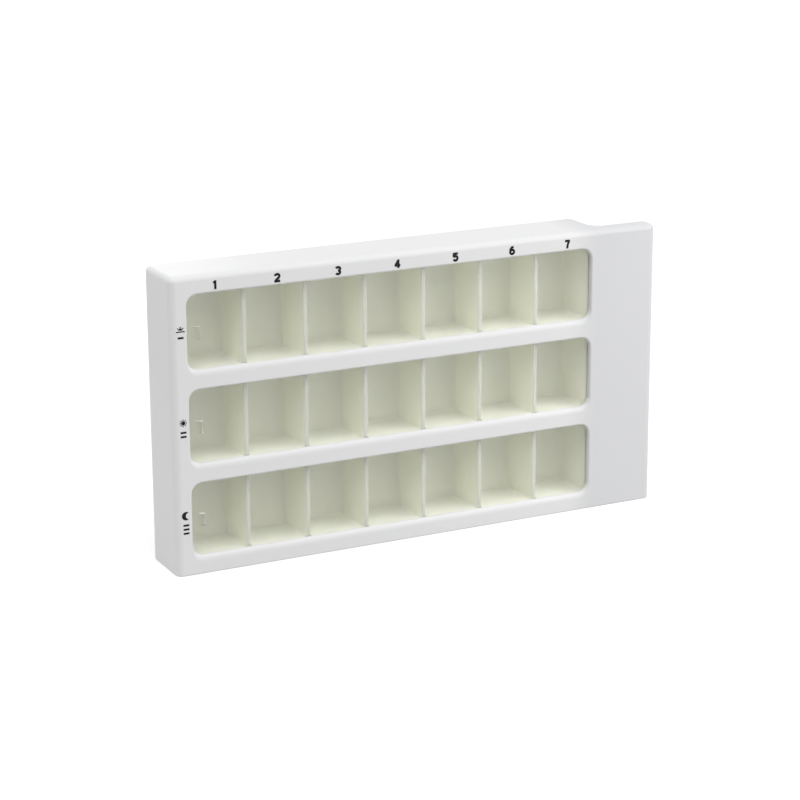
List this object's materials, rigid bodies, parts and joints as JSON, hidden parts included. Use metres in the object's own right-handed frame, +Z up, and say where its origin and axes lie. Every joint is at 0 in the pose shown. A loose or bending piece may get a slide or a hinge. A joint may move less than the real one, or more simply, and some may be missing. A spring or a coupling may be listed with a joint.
{
  "type": "weekly pill box",
  "caption": "Upright weekly pill box: a white housing with long rounded windows over rows of ivory cells, clear lids that slide out through a thin side grip, and a clipped-in rear cover.",
  "frame": {"origin": "middle of the footprint, on the surface that the box stands on", "axes": "+X along the rows towards the thin side grip, -Y out of the open front, +Z up through the rows"},
  "size_m": [0.209, 0.027, 0.1154],
  "materials": {
    "white_shell": "white ABS, fine satin texture",
    "white_cover": "white ABS, satin",
    "ivory_tray": "ivory polypropylene, smooth satin",
    "clear_lid": "clear polystyrene, polished"
  },
  "bodies": {
    "case": {"housing": "white_shell", "rear_cover": "white_cover", "morning_tray": "ivory_tray", "noon_tray": "ivory_tray", "evening_tray": "ivory_tray"},
    "morning_shutter": {"morning_lid": "clear_lid"},
    "noon_shutter": {"noon_lid": "clear_lid"},
    "evening_shutter": {"evening_lid": "clear_lid"}
  },
  "joints": [
    {"name": "morning_slide", "type": "slide", "parent": "case", "child": "morning_shutter", "axis": [1, 0, 0], "range_m": [0, 0.1665]},
    {"name": "noon_slide", "type": "slide", "parent": "case", "child": "noon_shutter", "axis": [1, 0, 0], "range_m": [0, 0.1665]},
    {"name": "evening_slide", "type": "slide", "parent": "case", "child": "evening_shutter", "axis": [1, 0, 0], "range_m": [0, 0.1665]}
  ]
}
